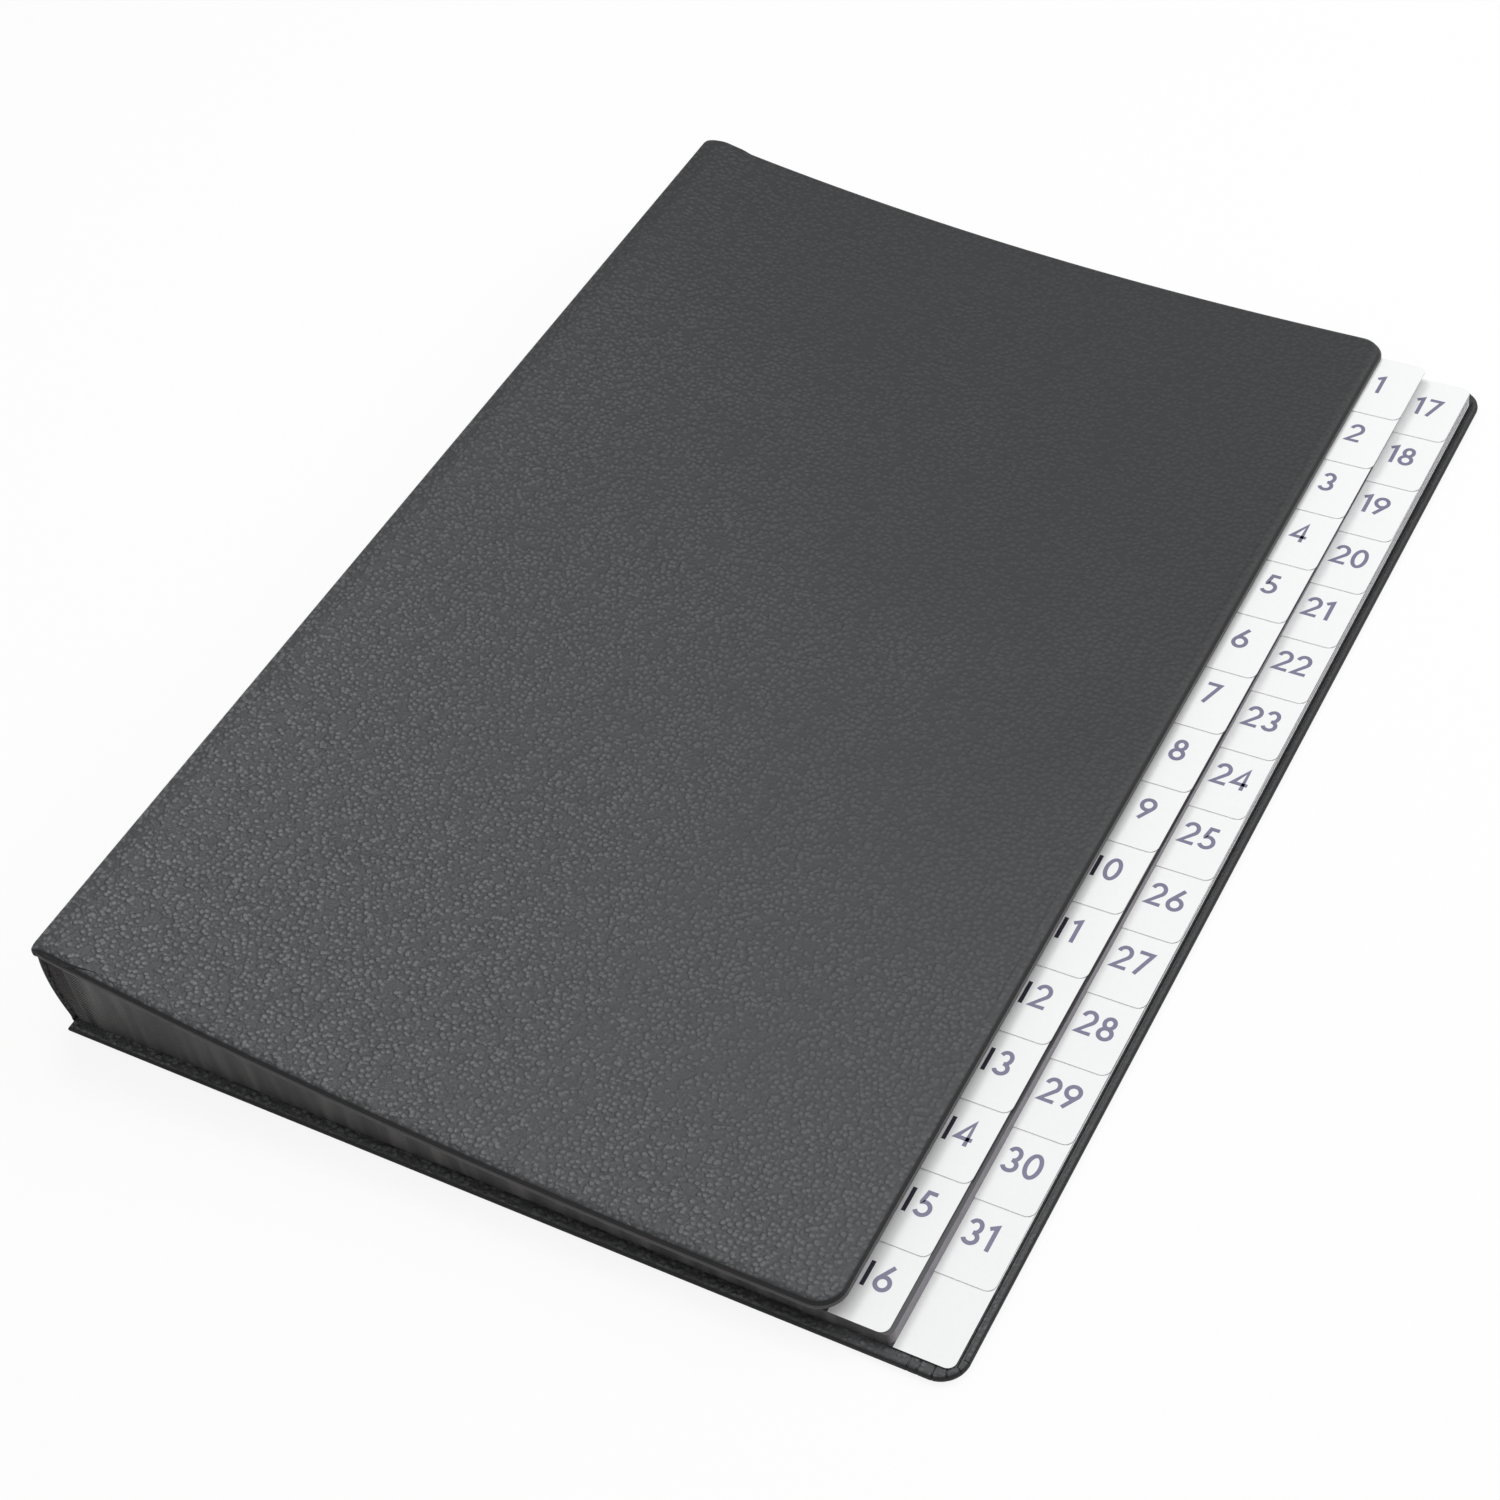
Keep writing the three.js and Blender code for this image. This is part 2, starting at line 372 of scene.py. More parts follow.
class Nodes:
    """A short hand for building a material's nodes."""

    def __init__(self, name):
        self.material = bpy.data.materials.new(name)
        self.material.use_nodes = True
        self.tree = self.material.node_tree
        self.shader = self.tree.nodes["Principled BSDF"]
        self.place = self.add("ShaderNodeTexCoord").outputs["Object"]

    def add(self, kind, **settings):
        node = self.tree.nodes.new(kind)
        for key, value in settings.items():
            setattr(node, key, value)
        return node

    def link(self, source, target):
        self.tree.links.new(source, target)

    def put(self, socket, value):
        if isinstance(value, bpy.types.NodeSocket):
            self.link(value, socket)
        else:
            socket.default_value = value

    def math(self, operation, a, b=0.0):
        node = self.add("ShaderNodeMath", operation=operation)
        self.put(node.inputs[0], a)
        self.put(node.inputs[1], b)
        return node.outputs[0]

    def noise(self, scale, detail=2.0, roughness=0.5, at=None):
        node = self.add("ShaderNodeTexNoise")
        self.put(node.inputs["Vector"], at or self.place)
        node.inputs["Scale"].default_value = scale
        node.inputs["Detail"].default_value = detail
        node.inputs["Roughness"].default_value = roughness
        return node

    def stretched(self, x, y, z):
        node = self.add("ShaderNodeMapping")
        self.put(node.inputs["Vector"], self.place)
        node.inputs["Scale"].default_value = (x, y, z)
        return node.outputs["Vector"]

    def between(self, value, low, high, out_low=0.0, out_high=1.0):
        node = self.add("ShaderNodeMapRange", interpolation_type="SMOOTHSTEP")
        self.put(node.inputs["Value"], value)
        ends = {"From Min": low, "From Max": high, "To Min": out_low, "To Max": out_high}
        for key, number in ends.items():
            node.inputs[key].default_value = number
        return node.outputs["Result"]

    def mix(self, factor, a, b):
        node = self.add("ShaderNodeMix", data_type="RGBA")
        self.put(node.inputs["Factor"], factor)
        self.put(node.inputs["A"], a)
        self.put(node.inputs["B"], b)
        return node.outputs["Result"]

    def apart(self, vector):
        """The X, Y and Z of a vector."""
        node = self.add("ShaderNodeSeparateXYZ")
        self.link(vector, node.inputs[0])
        return node.outputs

    def facing(self, kind):
        """The X, Y and Z of the surface's normal, in the world."""
        return self.apart(self.add("ShaderNodeNewGeometry").outputs[kind])

    def swing(self, noise, reach):
        """A noise as a number about zero."""
        return self.math("MULTIPLY", self.math("SUBTRACT", noise.outputs["Fac"], 0.5), reach)

    def paint(self, colour, roughness):
        self.put(self.shader.inputs["Base Color"], colour)
        self.put(self.shader.inputs["Roughness"], roughness)

    def bump(self, height, strength, distance):
        node = self.add("ShaderNodeBump")
        node.inputs["Strength"].default_value = strength
        node.inputs["Distance"].default_value = distance
        self.put(node.inputs["Height"], height)
        self.link(node.outputs["Normal"], self.shader.inputs["Normal"])


def rgb(r, g, b):
    return (r, g, b, 1.0)


# Colours. A pair is the darker and the lighter tone that a fine noise mixes.
COVERING = rgb(0.031, 0.032, 0.034)
# A painted sheen: the lighter tone the covering takes towards the tail corner at the spine
PAINTED_SHEEN = rgb(0.088, 0.09, 0.094)
RIM = rgb(0.055, 0.052, 0.054), rgb(0.085, 0.08, 0.083)
LINING = rgb(0.022, 0.022, 0.025), rgb(0.04, 0.04, 0.043)
CLOTH = rgb(0.11, 0.105, 0.104), rgb(0.2, 0.19, 0.186)
CARD = rgb(0.05, 0.05, 0.056), rgb(0.07, 0.07, 0.078)
CARD_TAIL_EDGE = rgb(0.065, 0.062, 0.061), rgb(0.15, 0.143, 0.14)
# The card's cut edge, painted lighter on the fore edge as light falling on it from the right
CARD_FORE_EDGE_WITH_PAINTED_LIGHT = rgb(0.2, 0.185, 0.21), rgb(0.29, 0.27, 0.305)
TAB = rgb(0.88, 0.89, 0.89), rgb(0.92, 0.925, 0.925)
TAB_EDGE = rgb(0.85, 0.85, 0.85), rgb(0.9, 0.9, 0.9)
INK = rgb(0.16, 0.155, 0.25), rgb(0.23, 0.22, 0.32)
# The tens' stems at the front cover's edge: print painted dark as the shadow under the cover
INK_IN_PAINTED_SHADOW = rgb(0.018, 0.014, 0.03), rgb(0.03, 0.022, 0.045)
FLOOR = rgb(0.93, 0.93, 0.93)
WHITE = rgb(1, 1, 1)

# The covering's grain, in metres and in cells or waves to the metre
PEBBLES = ((640, 0.72), (1350, 0.14))  # how many to the metre, and their share of the relief
PEBBLE_DOME = (0.66, 0.24)  # from a pebble's rim to where its top is flat
PEBBLE_RANDOMNESS = 0.82
WANDER = 0.0012
CREASE_WIDTH = 0.035
CREASE_SHARE = 0.14
FINE_SHARE = 0.08
MEAN_RELIEF = 0.55
RELIEF_DEPTH = 0.00046
# How strongly the colour is painted darker in the creases as shade and lighter on the pebble tops as
# highlight
PAINTED_CREVICE_SHADE_AND_HIGHLIGHT = 0.95
PRESSED_FROM, PRESSED_TO = -0.22, 0.12  # slanting away from the tail corner at the spine
PRESSED_SLANT = 0.8
PRESSED_PATCHES = 0.25
PRESSED_RELIEF = 0.3
# Where the painted sheen lies: the covering's colour is lighter towards the tail corner at the spine
PAINTED_SHEEN_FROM, PAINTED_SHEEN_TO = -0.24, 0.12  # along the cover, from the tail
PAINTED_SHEEN_SLANT = 0.55
PAINTED_SHEEN_PATCHES = 0.12
EDGE_RELIEF = 0.85  # how much of the relief is gone where the covering turns over
# How dark the painted shade on the turned-over covering is, as a share of its colour
EDGE_SHADE = 0.25

# Which part of the normal tells that the covering turns over an edge, and where the turn starts
# and ends: on the covers it turns away from Z, and on the spine it turns towards Y
COVER_TURN = ("Z", 0.88, 0.62)
SPINE_TURN = ("Y", 0.47, 0.78)


def grained_covering(name, turned_over):
    """Pebbled leather look: rounded pebbles about a millimetre wide and finer ones between them,
    parted by wandering creases, with painted shade in the creases and a painted highlight on the
    pebble tops. The covering is smoother where it turns over an edge, and painted darker there as
    shade; its grain is pressed flatter towards the head and the fore edge, and a painted sheen
    makes it lighter towards the tail corner at the spine."""
    n = Nodes(name)
    offset = n.add("ShaderNodeVectorMath", operation="MULTIPLY_ADD")
    n.link(n.noise(170, 2).outputs["Color"], offset.inputs[0])
    offset.inputs[1].default_value = (WANDER, WANDER, WANDER)
    n.link(n.place, offset.inputs[2])
    wandered = offset.outputs[0]
    domes = []
    for scale, share in PEBBLES:
        cells = n.add("ShaderNodeTexVoronoi", feature="F1")
        n.link(wandered, cells.inputs["Vector"])
        cells.inputs["Scale"].default_value = scale
        cells.inputs["Randomness"].default_value = PEBBLE_RANDOMNESS
        domes.append(n.math("MULTIPLY", n.between(cells.outputs["Distance"], *PEBBLE_DOME), share))
    crease = n.math("ABSOLUTE", n.swing(n.noise(150, 3, 0.55, at=wandered), 1.0))
    crease = n.math("MULTIPLY", n.between(crease, 0.0, CREASE_WIDTH), CREASE_SHARE)
    fine = n.math("MULTIPLY", n.noise(2400, 3, 0.6).outputs["Fac"], FINE_SHARE)
    height = n.math("ADD", n.math("ADD", n.math("ADD", *domes), crease), fine)

    x, y, _ = n.apart(n.place)
    patches = n.noise(22, 3, 0.55)
    across = n.math("ADD", x, n.math("MULTIPLY", y, PRESSED_SLANT))
    across = n.math("ADD", across, n.swing(patches, PRESSED_PATCHES))
    pressed = n.between(across, PRESSED_FROM, PRESSED_TO, 1.0, PRESSED_RELIEF)
    axis, turn_starts, turn_ends = turned_over
    edge = n.between(n.math("ABSOLUTE", n.facing("Normal")[axis]), turn_starts, turn_ends)
    left = n.math("MULTIPLY", pressed, n.math("SUBTRACT", 1.0, n.math("MULTIPLY", edge, EDGE_RELIEF)))
    relief = n.math("MULTIPLY", height, left)
    n.bump(relief, 1.0, RELIEF_DEPTH)

    # Painted sheen: the lighter tone is mixed in towards the tail and the spine
    along = n.math("ADD", y, n.math("MULTIPLY", x, PAINTED_SHEEN_SLANT))
    along = n.math("ADD", along, n.swing(patches, PAINTED_SHEEN_PATCHES))
    plain = n.mix(n.between(along, PAINTED_SHEEN_FROM, PAINTED_SHEEN_TO, 1.0, 0.0), COVERING, PAINTED_SHEEN)
    # Painted shade and highlight: the colour is darker below the mean relief and lighter above it, less
    # so where the grain is pressed
    shade = n.math("MULTIPLY", pressed, PAINTED_CREVICE_SHADE_AND_HIGHLIGHT)
    shade = n.math("ADD", 1.0, n.math("MULTIPLY", n.math("SUBTRACT", height, MEAN_RELIEF), shade))
    shaded = n.add("ShaderNodeVectorMath", operation="SCALE")
    n.link(plain, shaded.inputs[0])
    n.link(shade, shaded.inputs["Scale"])
    # Painted shade: where the covering turns over an edge its colour goes darker, as on faces turned
    # from the lamps
    turned = rgb(*(EDGE_SHADE * c for c in COVERING[:3]))
    n.paint(n.mix(edge, shaded.outputs[0], turned), n.between(relief, 0.0, 0.9, 0.6, 0.44))
    return n.material


def rim_covering():
    """The same covering pulled smooth over the thin lip of the front cover."""
    n = Nodes("covering_rim")
    drawn = n.noise(1.0, 3, 0.6, at=n.stretched(60, 60, 900))
    fine = n.noise(1900, 3, 0.6)
    n.bump(fine.outputs["Fac"], 0.3, 0.0001)
    n.paint(n.mix(drawn.outputs["Fac"], *RIM), n.between(fine.outputs["Fac"], 0.3, 0.7, 0.5, 0.38))
    return n.material


def lining_material():
    n = Nodes("lining_sheet")
    weave = n.add("ShaderNodeTexWave", wave_type="BANDS", bands_direction="X")
    weave.inputs["Scale"].default_value = 420
    weave.inputs["Distortion"].default_value = 1.2
    n.link(n.place, weave.inputs["Vector"])
    fibre = n.noise(900, 4, 0.6)
    height = n.math("ADD", n.math("MULTIPLY", weave.outputs["Fac"], 0.4), fibre.outputs["Fac"])
    n.bump(height, 0.4, 0.00008)
    n.paint(n.mix(fibre.outputs["Fac"], *LINING), 0.72)
    return n.material


def cloth_material():
    n = Nodes("hinge_cloth")
    threads = n.add("ShaderNodeTexVoronoi", feature="F1")
    n.link(n.stretched(2600, 900, 2600), threads.inputs["Vector"])
    n.bump(threads.outputs["Distance"], 0.5, 0.0001)
    n.paint(n.mix(threads.outputs["Distance"], *CLOTH), 0.9)
    return n.material


# Half the width, in metres, of the line where the card's dark and white meet, and the parts of
# the normal that tell its faces and its fore edge
PRINT_BLUR = 0.00003
EDGE_BLUR = 0.0002
FACE_TURN = (0.55, 0.75)
FORE_EDGE_TURN = (0.35, 0.75)
STREAKS = (0.4, 0.72)


def leaf_material(name, white_from):
    """Dark card whose tab, past white_from along x, is white on both faces."""
    n = Nodes(name)
    x, y, _ = n.apart(n.place)
    start = place(white_from, LEAF_TAIL + 1, 0)
    past = n.between(x, start.x - PRINT_BLUR, start.x + PRINT_BLUR)
    above_tail = n.between(y, start.y - EDGE_BLUR, start.y + EDGE_BLUR)
    facing = n.facing("True Normal")
    flat = n.between(n.math("ABSOLUTE", facing["Z"]), *FACE_TURN)
    fore = n.between(facing["X"], *FORE_EDGE_TURN)
    fibre = n.noise(700, 4, 0.6).outputs["Fac"]
    streaks = n.noise(1.0, 3, 0.6, at=n.stretched(150, 150, 16)).outputs["Fac"]
    tail_edge = n.mix(n.between(streaks, *STREAKS), *CARD_TAIL_EDGE)
    edge_tone = n.mix(n.math("MULTIPLY", past, above_tail), tail_edge, n.mix(fibre, *TAB_EDGE))
    # Painted light: the fore edges take a lighter tone than the tail edges of the same card
    edge_tone = n.mix(fore, edge_tone, n.mix(fibre, *CARD_FORE_EDGE_WITH_PAINTED_LIGHT))
    face = n.mix(past, n.mix(fibre, *CARD), n.mix(fibre, *TAB))
    n.bump(fibre, 0.15, 0.00005)
    n.paint(n.mix(flat, edge_tone, face), 0.5)
    return n.material


def ink_material(name, full, faint):
    n = Nodes(name)
    n.paint(n.mix(n.noise(1500, 3, 0.6).outputs["Fac"], full, faint), 0.5)
    return n.material


# Covers, spine and linings

# The covering's outer line over the front groove. The knots are distances from the spine edge
# with depths below the soft roll's top, and then with heights above the front cover.
CURVE_END = 2.4  # the spine's bulge is followed up to this far below its top
ROLL_RISE = 0.8  # the soft roll's top above the spine cover's
ROLL_KNOTS = ((-0.25, 1.35), (1.5, 0.45), (4.2, 0.08), (6.6, 0.12))
ROLL_TAIL = ((9.0, 0.78), (12.0, 0.52), (15.0, 0.29), (18.0, 0.12), (20.5, 0.03), (22.0, -0.25))
ROLL_THINS = (8, 20)  # where the covering thins out on the front cover
ROLL_EDGE = 0.3  # how far the roll stops short of the cover's head and tail
COVER_STARTS = (-3, 0.3)  # from the spine cover's top, the heights between which the roll begins
LAP_THICKNESS = 0.15

# Its outer line at the foot, where it is tucked behind the back cover's edge
TUCK_KNOTS = ((0.35, 1.6), (-0.12, 2.2), (-0.2, 2.8))
TUCK_TOP = 1.2  # above the spine cover's foot
TUCK_THICKNESS = 0.25
TUCK_THINS = (1.6, 4.5)  # heights

# How many stretches: along the bulge above and below the middle, and from knot to knot
UPPER_ROWS = 20
LOWER_ROWS = 24
ROLL_ROWS = 6
TUCK_ROWS = 5


def shoulder_path():
    """From the middle of the spine, over the soft roll at the hinge, to where the covering lies
    flat on the front cover."""
    middle = (SPINE_FOOT + SPINE_TOP) / 2
    low = [(spine_outer(z), z) for z in steps(UPPER_ROWS, middle, SPINE_TOP - CURVE_END)]
    knots = [low[-1]]
    knots += [(x, SPINE_TOP + ROLL_RISE - below) for x, below in ROLL_KNOTS]
    knots += [(x, front_top(x) + rise) for x, rise in ROLL_TAIL]
    return low[:-1] + through(knots, ROLL_ROWS)


def foot_path(end):
    """From the tuck at the back cover up to where the path over the roll begins."""
    turn = SPINE_FOOT + TUCK_TOP
    tuck = through([*TUCK_KNOTS, (spine_outer(turn), turn)], TUCK_ROWS)
    return tuck[:-1] + [(spine_outer(z), z) for z in steps(LOWER_ROWS, turn, end)]


def through(knots, count):
    """A smooth line through the knots."""
    line = []
    for i in range(len(knots) - 1):
        near = knots[max(i - 1, 0)], knots[i], knots[i + 1], knots[min(i + 2, len(knots) - 1)]
        for t in steps(count, 0, 1)[:-1]:
            line.append(tuple(
                0.5 * (2 * q + (r - p) * t + (2 * p - 5 * q + 4 * r - s) * t**2
                       + (3 * q - p - 3 * r + s) * t**3)
                for p, q, r, s in zip(*near)
            ))
    return line + [knots[-1]]


def build_covers():
    leather = grained_covering("grained_covering", COVER_TURN)
    front = cover("front_leather", FRONT_START, FRONT_WIDTH, front_underside, front_edge_profile(),
                  [leather, rim_covering()], waviness=FACE_SWELL, second=(1, LIP_STEPS))
    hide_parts("front_cover")
    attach(front, "front")
    back = cover("back_leather", 0, BACK_WIDTH, lambda x: 0, back_edge_profile(), [leather], pleats=True)
    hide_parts("back_cover")
    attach(back, "back")


def build_spine():
    """Two strips of covering that meet at the middle of the spine and bend at the two grooves."""
    leather = grained_covering("grained_covering_spine", SPINE_TURN)
    upper = shoulder_path()

    def upper_thickness(i):
        thinned = smooth(upper[i][0], *ROLL_THINS)
        return LAP_THICKNESS + (SPINE_THICKNESS - LAP_THICKNESS) * (1 - thinned)

    def on_cover(i):
        return smooth(upper[i][1] - SPINE_TOP, *COVER_STARTS)

    def upper_inset(i):
        return SPINE_INSET + (ROLL_EDGE - SPINE_INSET) * on_cover(i)

    shoulder = strip("spine_leather_upper", upper, upper_thickness, upper_inset, on_cover, [leather])
    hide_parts("spine_cover")
    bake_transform(shoulder)
    lower = foot_path(upper[0][1])

    def lower_thickness(i):
        return TUCK_THICKNESS + (SPINE_THICKNESS - TUCK_THICKNESS) * smooth(lower[i][1], *TUCK_THINS)

    tuck = strip("spine_leather_lower", lower, lower_thickness, lambda i: SPINE_INSET, lambda i: 0,
                 [leather])
    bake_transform(tuck)


def build_linings():
    lining = lining_material()
    front_range = (FRONT_START + LINING_MARGIN, FRONT_WIDTH - LINING_MARGIN)
    front = curved_sheet("front_lining_sheet", front_range, lambda x: stack_top(x) + LAYING_GAP, lining)
    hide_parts("front_lining")
    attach(front, "front")
    back_range = (LINING_MARGIN, BACK_WIDTH - LINING_MARGIN)
    back = curved_sheet("back_lining_sheet", back_range, lambda x: BACK_THICKNESS, lining)
    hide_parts("back_lining")
    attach(back, "back")
    strip_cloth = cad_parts["hinge_strip"]
    strip_cloth.data.materials.clear()
    strip_cloth.data.materials.append(cloth_material())


# Leaves and their numerals

def scatter(k):
    return math.sin(2.4 * k) * math.cos(5.1 * k)


def leaf_plan(k):
    in_first = k <= TABS
    from_tail = (TABS if in_first else LEAF_COUNT) - k
    cut = FRONT_WIDTH - TAB_HIDDEN
    edge = FRONT_WIDTH + FIRST_TAB + TAB_LEAN * from_tail
    if not in_first:
        cut = FRONT_WIDTH + FIRST_TAB + COLUMN_STEP
        edge = cut + SECOND_TAB
    return cut, edge + EDGE_SCATTER * scatter(k), LEAF_TAIL + from_tail * TAB_PITCH, from_tail > 0


def quarter(cx, cy, radius, first, count=7):
    turns = [math.radians(a) for a in steps(count, first, first + 90)]
    return [(cx + radius * math.cos(a), cy + radius * math.sin(a)) for a in turns]


def leaf_outline(k):
    cut, edge, foot, has_cut = leaf_plan(k)
    outline = [(LEAF_START, LEAF_TAIL)]
    if has_cut:
        outline += quarter(cut - FOOT_CORNER, LEAF_TAIL + FOOT_CORNER, FOOT_CORNER, -90)
        outline.append((cut, foot))
    outline += quarter(edge - TAB_CORNER, foot + TAB_CORNER, TAB_CORNER, -90)
    outline += quarter(edge - TAB_CORNER, LEAF_HEAD - TAB_CORNER, TAB_CORNER, 0)
    return outline + [(LEAF_START, LEAF_HEAD)]


HINGE_FILL = 0.82
FILL_FROM, FILL_TO = 5.8, 8.5  # places from the spine edge, past the hinge strip's mouth


def leaf_thickness(x):
    """A leaf is thicker at the spine, where its hinge is glued on, so the stack's ends look closed."""
    room = (stack_top(x) - STACK_FLOOR) / LEAF_COUNT - LEAF_PITCH
    return LEAF_THICKNESS + HINGE_FILL * room * smooth(x, FILL_FROM, FILL_TO)


def node_of(k):
    return "back_leaf" if k == LEAF_COUNT else f"index_leaf_{k:02d}"


def build_leaves():
    first = leaf_material("first_column_card", FRONT_WIDTH - TAB_HIDDEN)
    second = leaf_material("second_column_card", FRONT_WIDTH + FIRST_TAB + COLUMN_STEP)
    for k in range(1, LEAF_COUNT + 1):
        layer = LEAF_COUNT - k + 0.5

        def lower(x, layer=layer):
            return layer_height(x, layer) - leaf_thickness(x) / 2

        leaf = bent_plate(f"leaf_{k:02d}", leaf_outline(k), lower, leaf_thickness,
                          first if k <= TABS else second, FRONT_WIDTH, cuts=36)
        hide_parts(node_of(k))
        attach(leaf, "back")


def arc(cx, cy, rx, ry, start, end, count=18):
    turns = [math.radians(a) for a in steps(count, start, end)]
    return [(cx + rx * math.cos(a), cy + ry * math.sin(a)) for a in turns]


# Strokes of each digit in a box one unit high: its width, then lines of points. The stem is what
# shows of a 1 that the front cover's edge cuts off.
DIGITS = {
    "0": (0.60, [arc(0.30, 0.50, 0.23, 0.43, 90, 450, 36)]),
    "stem": (0.12, [[(0.0, 0.93), (0.0, 0.0)]]),
    "1": (0.34, [[(0.02, 0.80), (0.24, 0.93), (0.24, 0.0)]]),
    "2": (0.58, [arc(0.29, 0.68, 0.22, 0.25, 170, -38) + [(0.06, 0.07), (0.55, 0.07)]]),
    "3": (0.56, [arc(0.26, 0.70, 0.19, 0.23, 160, -90), arc(0.26, 0.275, 0.22, 0.205, 90, -160)]),
    "4": (0.62, [[(0.44, 0.0), (0.44, 0.92), (0.05, 0.27), (0.60, 0.27)]]),
    "5": (0.56, [[(0.50, 0.93), (0.20, 0.93), (0.13, 0.55)] + arc(0.25, 0.315, 0.24, 0.245, 118, -150)]),
    "6": (0.60, [arc(0.30, 0.30, 0.23, 0.235, 150, -210, 30), [(0.44, 0.96), (0.10, 0.42)]]),
    "7": (0.56, [[(0.04, 0.93), (0.51, 0.93), (0.17, 0.0)]]),
    "8": (0.58, [arc(0.29, 0.72, 0.175, 0.205, -90, 270, 30),
                 arc(0.29, 0.285, 0.22, 0.22, 90, 450, 30)]),
    "9": (0.60, [arc(0.30, 0.68, 0.23, 0.235, -30, 330, 30), [(0.16, 0.02), (0.50, 0.56)]]),
}
NUMERAL_HEIGHT = 7.1
NUMERAL_STROKE = 1.05
NUMERAL_SPACE = 0.12
NUMERAL_TOP = 4.5  # below the tab's head end
NUMERAL_LEFT = 1.65  # from where a second-column leaf is cut back
UNITS_LEFT = 1.7  # from the front cover's edge, in the first column
STEM_LEFT = -0.3
PRINT_THICKNESS = 0.02
STROKE_STEP = 0.012  # each stroke of a digit lies this much higher, so that crossings are clean
SAME_PLACE = 0.01
WIDEST_MITRE = 2


def stroke_plate(line, closed, base, bm):
    """A flat stroke of even width along a line of points, given a little thickness."""
    half = NUMERAL_STROKE / 2
    sides = []
    count = len(line)
    for i, (x, y) in enumerate(line):
        before = line[i - 1] if i or closed else line[0]
        after = line[(i + 1) % count] if i + 1 < count or closed else line[-1]
        into, out = Vector((x - before[0], y - before[1])), Vector((after[0] - x, after[1] - y))
        into = into.normalized() if into.length else out.normalized()
        out = out.normalized() if out.length else into
        across = (Vector((-into.y, into.x)) + Vector((-out.y, out.x))).normalized()
        across *= half / max(across.dot(Vector((-into.y, into.x))), 1 / WIDEST_MITRE)
        sides.append(((x + across.x, y + across.y), (x - across.x, y - across.y)))
    heights = (base, base + PRINT_THICKNESS)
    rows = [[bm.verts.new(place(*p, z)) for z in heights for p in pair] for pair in sides]
    following = rows[1:] + rows[:1] if closed else rows[1:]
    for a, b in zip(rows, following):
        for i, j in ((0, 1), (1, 3), (3, 2), (2, 0)):
            bm.faces.new([a[i], a[j], b[j], b[i]])
    if not closed:
        for end in (rows[0], rows[-1]):
            bm.faces.new([end[0], end[1], end[3], end[2]])


def lay_digit(digit, left, base_y, surface, bm):
    width, lines = DIGITS[digit]
    for number, line in enumerate(lines):
        laid = [(left + x * NUMERAL_HEIGHT, base_y + y * NUMERAL_HEIGHT) for x, y in line]
        closed = math.dist(laid[0], laid[-1]) < SAME_PLACE
        stroke_plate(laid[:-1] if closed else laid, closed, surface + number * STROKE_STEP, bm)
    return left + (width + NUMERAL_SPACE) * NUMERAL_HEIGHT


def build_numerals():
    """Plain numbers on the tabs. In the first column the tens of 10 to 16 stand right at the front
    cover's edge: only their stems show, printed in ink painted dark as the shadow under that edge."""
    ink = ink_material("tab_print", *INK)
    # The stems' ink is painted dark as the front cover's shadow
    ink_in_painted_shadow = ink_material("tab_print_in_painted_shadow", *INK_IN_PAINTED_SHADOW)
    for k in range(1, LEAF_COUNT):
        cut, _, foot, _ = leaf_plan(k)
        base_y = foot + TAB_PITCH - NUMERAL_TOP - NUMERAL_HEIGHT
        surface = layer_height(FRONT_WIDTH, LEAF_COUNT - k + 0.5) + LEAF_THICKNESS / 2
        left = cut + NUMERAL_LEFT
        digits = str(k)
        if k <= TABS:
            left = FRONT_WIDTH + UNITS_LEFT
            if k >= 10:
                tens = bmesh.new()
                lay_digit("stem", FRONT_WIDTH + STEM_LEFT, base_y, surface, tens)
                lay_numeral(tens, f"numeral_{k:02d}_tens", ink_in_painted_shadow)
                digits = digits[1:]
        bm = bmesh.new()
        for digit in digits:
            left = lay_digit(digit, left, base_y, surface, bm)
        lay_numeral(bm, f"numeral_{k:02d}", ink)


def lay_numeral(bm, name, ink):
    numeral = finish_mesh(bm, name, [ink])
    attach(numeral, "back")


# Stage, lights and camera

FLOOR_REACH = 6
FLOOR_DROP = 0.0002
FLOOR_WHITENESS = 0.88
WORLD_LEVEL = 0.3

# Each lamp's name, place, aim, width and height in metres, and watts
LAMPS = (
    ("window_right", (0.85, 0.65, 0.8), (0.03, 0.0, 0.01), (0.8, 0.7), 6.0),
    ("overhead", (0.15, 0.0, 1.35), (0.0, 0.0, 0.0), (1.0, 1.0), 7.0),
    ("sheen", (-0.34, 0.26, 1.08), (-0.1, -0.16, 0.03), (0.36, 0.36), 3.0),
)


def build_floor():
    """Matt white paper that the camera sees as nearly plain white."""
    n = Nodes("floor_paper")
    n.shader.inputs["Base Color"].default_value = FLOOR
    n.shader.inputs["Roughness"].default_value = 0.9
    white = n.add("ShaderNodeEmission")
    white.inputs["Color"].default_value = WHITE
    blend = n.add("ShaderNodeMixShader")
    path = n.add("ShaderNodeLightPath")
    n.link(n.math("MULTIPLY", path.outputs["Is Camera Ray"], FLOOR_WHITENESS), blend.inputs[0])
    n.link(n.shader.outputs[0], blend.inputs[1])
    n.link(white.outputs[0], blend.inputs[2])
    n.link(blend.outputs[0], n.tree.nodes["Material Output"].inputs["Surface"])
    bm = bmesh.new()
    corners = ((-1, -1), (1, -1), (1, 1), (-1, 1))
    bm.faces.new([bm.verts.new((x * FLOOR_REACH, y * FLOOR_REACH, 0)) for x, y in corners])
    floor = finish_mesh(bm, "floor", [n.material])
    floor.location.z = -FLOOR_DROP


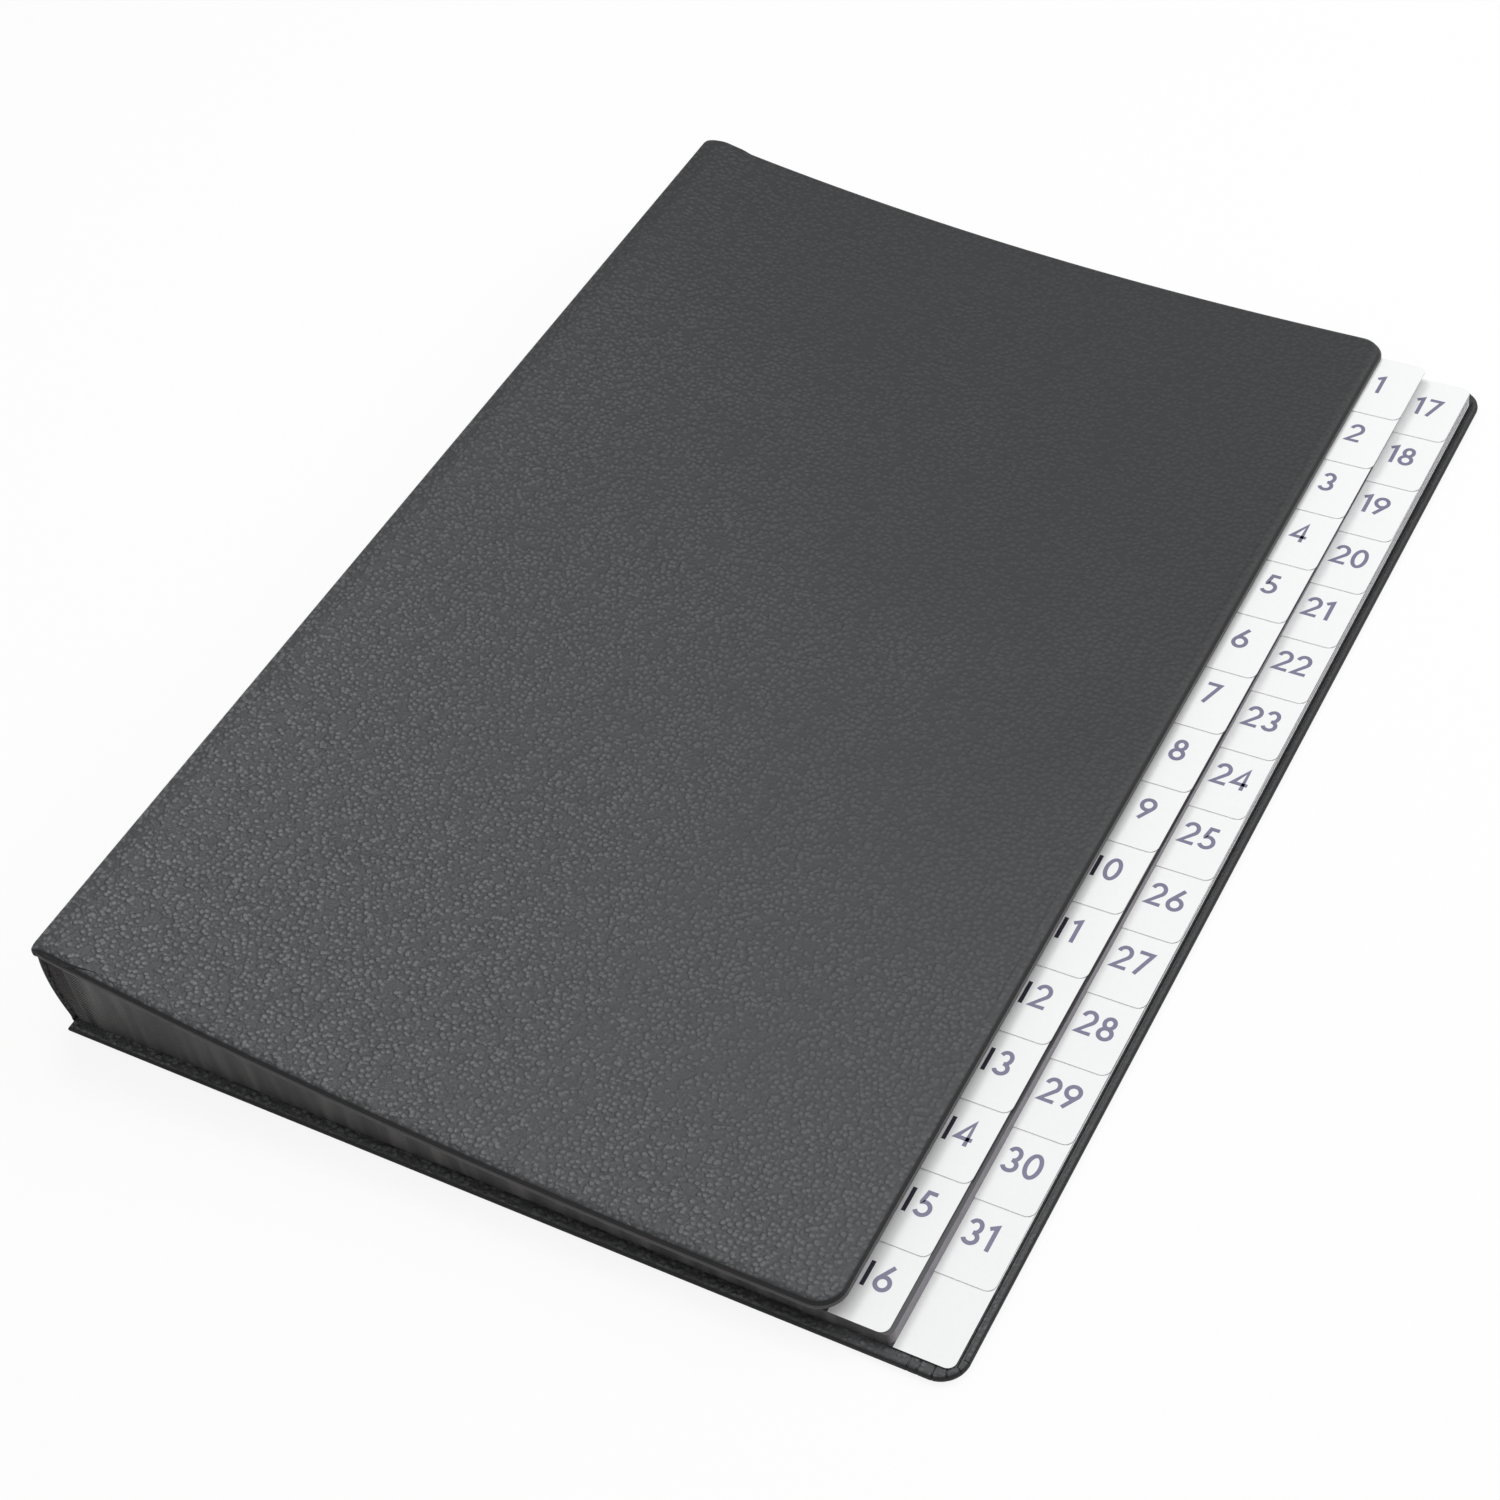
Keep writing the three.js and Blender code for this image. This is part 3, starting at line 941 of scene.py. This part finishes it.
def build_world():
    """White where the camera sees it, and a low even light on everything else."""
    world = bpy.data.worlds.new("studio")
    bpy.context.scene.world = world
    world.use_nodes = True
    tree = world.node_tree
    background = tree.nodes["Background"]
    background.inputs["Color"].default_value = WHITE
    path = tree.nodes.new("ShaderNodeLightPath")
    level = tree.nodes.new("ShaderNodeMapRange")
    tree.links.new(path.outputs["Is Camera Ray"], level.inputs["Value"])
    level.inputs["To Min"].default_value = WORLD_LEVEL
    level.inputs["To Max"].default_value = 1.0
    tree.links.new(level.outputs["Result"], background.inputs["Strength"])


def build_lamps():
    for name, where, aim, size, watts in LAMPS:
        data = bpy.data.lights.new(name, "AREA")
        data.shape = "RECTANGLE"
        data.size, data.size_y = size
        data.energy = watts
        lamp = bpy.data.objects.new(name, data)
        bpy.context.scene.collection.objects.link(lamp)
        lamp.location = where
        lamp.rotation_euler = (Vector(aim) - Vector(where)).to_track_quat("-Z", "Y").to_euler()


# The photo's camera: its place in the making frame, and its angles in degrees
CAMERA_EYE = (411.7, -258.1, 540.9)
CAMERA_AZIMUTH = 36.42
CAMERA_ELEVATION = 47.11
CAMERA_ROLL = -10.86
LENS_IN_PIXELS = 2851.7
PHOTO_WIDTH = 1500
SENSOR = 36


def build_camera():
    turn, tip, roll = (math.radians(a) for a in (CAMERA_AZIMUTH, CAMERA_ELEVATION, CAMERA_ROLL))
    forward = Vector((-math.sin(turn) * math.cos(tip), math.cos(turn) * math.cos(tip), -math.sin(tip)))
    level = Vector((math.cos(turn), math.sin(turn), 0))
    right = math.cos(roll) * level + math.sin(roll) * level.cross(forward)
    up = right.cross(forward)
    data = bpy.data.cameras.new("camera")
    data.sensor_width = SENSOR
    data.lens = LENS_IN_PIXELS / PHOTO_WIDTH * SENSOR
    data.clip_start = 0.01
    camera = bpy.data.objects.new("camera", data)
    bpy.context.scene.collection.objects.link(camera)
    turned = Matrix((right, up, -forward)).transposed().to_4x4()
    camera.matrix_world = Matrix.Translation(place(*CAMERA_EYE)) @ turned
    bpy.context.scene.camera = camera


bpy.context.scene.view_settings.view_transform = "Standard"
build_camera()
build_covers()
build_spine()
build_linings()
build_leaves()
build_numerals()
build_floor()
build_world()
build_lamps()
